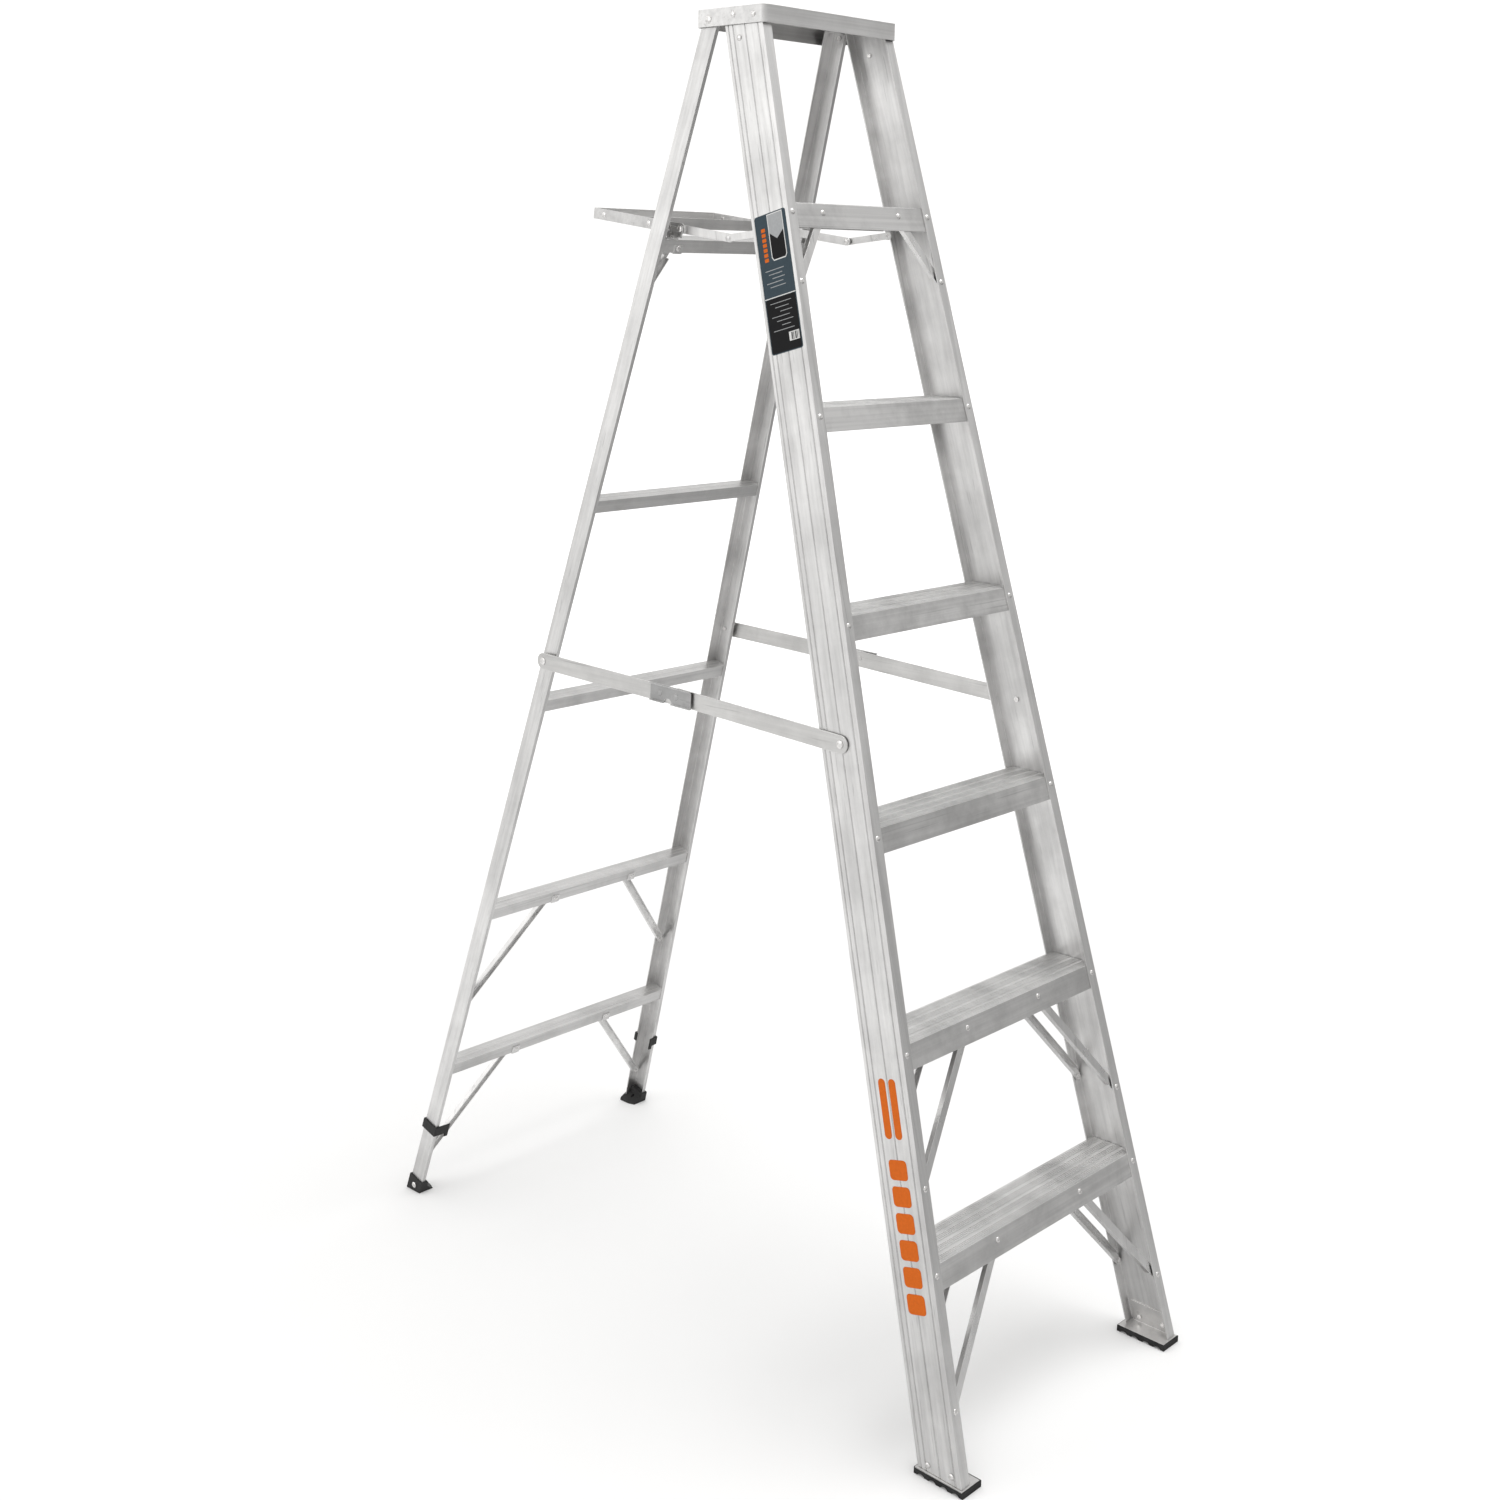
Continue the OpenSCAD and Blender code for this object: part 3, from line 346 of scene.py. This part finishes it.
def printed(name, colour, roughness=0.42):
    """Printed film: ink with a faint mottle under a satin laminate."""
    material = bpy.data.materials.new(name)
    material.use_nodes = True
    tree = material.node_tree
    shader = tree.nodes["Principled BSDF"]
    shader.inputs["Specular IOR Level"].default_value = 0.14
    shader.inputs["Coat Weight"].default_value = 0.02
    shader.inputs["Coat Roughness"].default_value = 0.2
    place = turned(tree, 0.0)
    mottle = noise(tree, place, 260.0, 3.0, 0.6)
    wear = noise(tree, place, 24.0, 5.0, 0.6)
    tree.links.new(tinted(tree, ranged(tree, mottle, 0.3, 0.7, 0.0, 1.0), tuple(c * 0.88 for c in colour),
                          colour), shader.inputs["Base Color"])
    tree.links.new(ranged(tree, wear, 0.3, 0.7, roughness, roughness + 0.2), shader.inputs["Roughness"])
    tree.links.new(bumped(tree, wear, 0.1, 0.0003), shader.inputs["Normal"])
    return material


slate_ink = printed("slate_ink", (0.045, 0.068, 0.085))
black_ink = printed("black_ink", (0.006, 0.006, 0.007))
white_ink = printed("white_ink", (0.80, 0.80, 0.79))
grey_ink = printed("grey_ink", (0.42, 0.43, 0.44))
orange_ink = printed("orange_ink", (0.72, 0.145, 0.01), 0.4)
coat(slate_ink, "rating_label")


def block(d0, d1, u0, u1):
    """A rectangle as (depth, up) points."""
    return [(d0, u0), (d1, u0), (d1, u1), (d0, u1)]


def rules(count, left, right, top, pitch, height):
    """Printed rules one below the other; left and right each hold a place and its uneven step."""
    lines = []
    for k in range(count):
        start = left[0] + left[1] * (k % 2)
        end = right[0] - right[1] * (k % 3)
        lines.append(block(start, end, top - pitch * k, top - pitch * k + height))
    return lines


# How far each layer stands off the web: on the bare rail, on the plate, on its print, on the badge
on_rail, on_plate, on_print, on_badge = 0.00003, 0.00032, 0.0004, 0.00047
ink, thin_ink, thick_ink = 0.00006, 0.00005, 0.00009
film("label_black_panel", [rounded(0.0075, 0.0670, 1.6225, 1.703, 0.003)],
     on_plate, ink, black_ink)
film("label_divider", [block(0.0062, 0.0683, 1.7035, 1.7050)], on_plate, ink, white_ink)
film("label_badge_rim", [[(0.0125, 1.8270), (0.0435, 1.8270), (0.0435, 1.7620), (0.0400, 1.7570),
                          (0.0160, 1.7570), (0.0125, 1.7620)]], on_plate, ink, white_ink)
film("label_badge_window", [[(0.0140, 1.8000), (0.0420, 1.8000), (0.0420, 1.7625), (0.0395, 1.7587),
                             (0.0165, 1.7587), (0.0140, 1.7625)]],
     on_print, thin_ink, black_ink)
film("label_badge_face", [[(0.0140, 1.8255), (0.0420, 1.8255), (0.0420, 1.7990), (0.0280, 1.7880),
                           (0.0140, 1.7990)]], on_badge, thin_ink, grey_ink)
bar_up, bar_pitch, bar_height = 1.7580, 0.0075, 0.0055
film("label_orange_bars", [rounded(0.0500, 0.0580, bar_up + bar_pitch * k,
                                   bar_up + bar_height + bar_pitch * k, 0.001, 2) for k in range(7)],
     on_plate, ink, orange_ink)
film("label_rules", rules(5, (0.0230, 0.004), (0.0600, 0.006), 1.7440, 0.0062, 0.0012),
     on_plate, thin_ink, grey_ink)
film("label_small_rules", rules(7, (0.0170, 0.006), (0.0590, 0.009), 1.6950, 0.0068, 0.0010),
     on_print, thin_ink, grey_ink)
film("label_code_ground", [block(0.0095, 0.0300, 1.6350, 1.6485)],
     on_print, thin_ink, white_ink)
code_left, code_pitch, code_line = 0.0108, 0.0024, 0.0006
code_bars = []
for k in range(7):
    bar_left = code_left + code_pitch * k
    code_bars.append(block(bar_left, bar_left + code_line * (1 + k % 3), 1.6362, 1.6473))
film("label_code_bars", code_bars, on_badge, thin_ink, black_ink)
mark_up, mark_pitch, mark_height = 0.243, 0.0372, 0.0285
film("lower_mark_blocks", [rounded(0.0205, 0.0535, mark_up + mark_pitch * k,
                                   mark_up + mark_pitch * k + mark_height, 0.006) for k in range(6)],
     on_rail, thick_ink, orange_ink)
film("lower_mark_bars", [rounded(0.0210, 0.0340, 0.486, 0.571, 0.0062),
                         rounded(0.0400, 0.0530, 0.486, 0.571, 0.0062)],
     on_rail, thick_ink, orange_ink)

# Rear rails and bars
# Lighter channels of the same alloy, with channel bars riveted between them.
rear_lean = math.radians(15.9)
rear_rail_metal = mill_aluminium("rear_rail_mill_finish", (0.84, 0.835, 0.83), -rear_lean, (110, 110, 1.3))
coat(rear_rail_metal, "rear_rail_left", "rear_rail_right")
bar_metal = mill_aluminium("bar_mill_finish", (0.80, 0.795, 0.79), -rear_lean, (1.4, 110, 110), 0.26)
coat(bar_metal, *[f"rear_bar_{i}" for i in range(1, 6)])

# Rear clips and boots
# Black plastic mouldings: a clip round each rail and a boot on its end.
boot_plastic = moulded_black("boot_plastic", (0.012, 0.012, 0.012), 0.40, 0.02, 700.0)
for side_name in ("left", "right"):
    eased_copy(f"rear_clip_{side_name}", f"clip_{side_name}", boot_plastic, 0.0005)
    eased_copy(f"rear_foot_{side_name}", f"boot_{side_name}", boot_plastic, 0.0008)

# Spreaders
# Plated steel strips, with a darker lock plate riveted over their centre.
spreader_metal = mill_aluminium("spreader_plated_strip", (0.76, 0.755, 0.745), 0.0, (60, 2.0, 60), 0.24,
                                (0.30, 0.46))
lock_metal = mill_aluminium("lock_plated_steel", (0.50, 0.50, 0.50), 0.0, (40, 12, 40), 0.30,
                            (0.34, 0.50))
for side_name in ("left", "right"):
    coat(spreader_metal, f"spreader_front_{side_name}", f"spreader_rear_{side_name}")
    coat(lock_metal, f"spreader_lock_{side_name}")

# Tray
# Folded sheet pan between side plates, on two pressed arms and two links.
tray_metal = mill_aluminium("tray_brushed_sheet", (0.80, 0.795, 0.79), 0.0, (1.6, 80, 80), 0.24,
                            (0.30, 0.46))
coat(tray_metal, "tray")
coat(brace_metal, "tray_arm_left", "tray_arm_right", "tray_link_left", "tray_link_right")

# Studio
# A pale floor, a soft surround that is brighter to the left and two softboxes. The camera sees floor and
# surround as near white, the far floor lifted by a painted glow; reflections see a darker gradient, painted
# shade on the floor and dimmer light from the surround, which shapes the metal.


def for_camera(tree, seen, unseen):
    """The seen number for the camera's own rays and the unseen socket for all others."""
    path = tree.nodes.new("ShaderNodeLightPath")
    choice = tree.nodes.new("ShaderNodeMix")
    choice.data_type = "FLOAT"
    tree.links.new(path.outputs["Is Camera Ray"], choice.inputs["Factor"])
    tree.links.new(unseen, choice.inputs["A"])
    choice.inputs["B"].default_value = seen
    return choice.outputs["Result"]


floor_shape = bmesh.new()
bmesh.ops.create_grid(floor_shape, x_segments=1, y_segments=1, size=60)
floor_mesh = bpy.data.meshes.new("studio_floor")
floor_shape.to_mesh(floor_mesh)
floor_shape.free()
floor = bpy.data.objects.new("studio_floor", floor_mesh)
bpy.context.scene.collection.objects.link(floor)
floor_paint = bpy.data.materials.new("floor_paint")
floor_paint.use_nodes = True
floor_mesh.materials.append(floor_paint)
floor_tree = floor_paint.node_tree
floor_shader = floor_tree.nodes["Principled BSDF"]
floor_shader.inputs["Roughness"].default_value = 0.9
floor_shader.inputs["Emission Color"].default_value = (1, 1, 1, 1)
floor_spot = floor_tree.nodes.new("ShaderNodeTexCoord")
floor_side = floor_tree.nodes.new("ShaderNodeVectorMath")
floor_side.operation = "DOT_PRODUCT"
floor_side.inputs[1].default_value = (-0.70, 0.71, 0.0)
floor_tree.links.new(floor_spot.outputs["Object"], floor_side.inputs[0])
# Painted light and shade for reflections: rays other than the camera's see the floor darker to the front
# right and lighter to the back left.
floor_shade = ranged(floor_tree, floor_side.outputs["Value"], -2.4, 1.4, 0.32, 0.92)
floor_tree.links.new(for_camera(floor_tree, 0.90, floor_shade), floor_shader.inputs["Base Color"])
floor_reach = floor_tree.nodes.new("ShaderNodeVectorMath")
floor_reach.operation = "LENGTH"
floor_tree.links.new(floor_spot.outputs["Object"], floor_reach.inputs[0])
floor_seen = floor_tree.nodes.new("ShaderNodeLightPath")
# Painted glow: the camera sees the floor give off white light, more the farther it lies from the ladder.
floor_far_glow = multiplied(floor_tree, ranged(floor_tree, floor_reach.outputs["Value"], 1.6, 5.0, 0.05, 0.55),
                        floor_seen.outputs["Is Camera Ray"])
floor_tree.links.new(floor_far_glow, floor_shader.inputs["Emission Strength"])

surround = bpy.data.worlds.new("studio_surround")
bpy.context.scene.world = surround
surround.use_nodes = True
air = surround.node_tree
direction = air.nodes.new("ShaderNodeTexCoord")
facing_left = air.nodes.new("ShaderNodeVectorMath")
facing_left.operation = "DOT_PRODUCT"
facing_left.inputs[1].default_value = (-0.70, 0.62, 0.25)
air.links.new(direction.outputs["Generated"], facing_left.inputs[0])
glow = ranged(air, facing_left.outputs["Value"], -0.9, 0.9, 0.60, 1.06)
backdrop = air.nodes["Background"]
backdrop.inputs["Color"].default_value = (1.0, 0.995, 0.985, 1)
air.links.new(for_camera(air, 1.1, glow), backdrop.inputs["Strength"])


def softbox(name, place, target, size, power):
    light = bpy.data.lights.new(name, "AREA")
    light.shape = "RECTANGLE"
    light.size, light.size_y = size
    light.energy = power
    lamp = bpy.data.objects.new(name, light)
    aim = Vector(target) - Vector(place)
    lamp.matrix_world = Matrix.Translation(place) @ aim.to_track_quat("-Z", "Y").to_matrix().to_4x4()
    bpy.context.scene.collection.objects.link(lamp)


softbox("left_softbox", (-3.4, 1.2, 2.6), (0, 0, 1.0), (2.0, 2.6), 9)
softbox("top_softbox", (0.6, -0.8, 4.4), (0, 0, 0.8), (2.2, 2.2), 62)

# Camera
# Stands to the left and in front, a little below the cap, and looks slightly down.
eye = Vector((-2.2725, -1.4298 + front_foot_y, 1.6832))
turn, tip, roll = math.radians(46.1501), math.radians(8.5047), math.radians(-1.0081)
ahead = Vector((math.sin(turn) * math.cos(tip), math.cos(turn) * math.cos(tip), -math.sin(tip)))
across = Vector((math.cos(turn), -math.sin(turn), 0))
down = ahead.cross(across)
right = across * math.cos(roll) + down * math.sin(roll)
below = down * math.cos(roll) - across * math.sin(roll)
camera_data = bpy.data.cameras.new("main_camera")
camera_data.sensor_width = 36
camera_data.lens = 46.087
camera_data.shift_x = 0.016107
camera_data.shift_y = -0.134307
camera_data.clip_end = 200
camera = bpy.data.objects.new("main_camera", camera_data)
camera.matrix_world = Matrix.Translation(eye) @ Matrix((right, -below, -ahead)).transposed().to_4x4()
bpy.context.scene.collection.objects.link(camera)
bpy.context.scene.camera = camera
bpy.context.scene.view_settings.view_transform = "Standard"
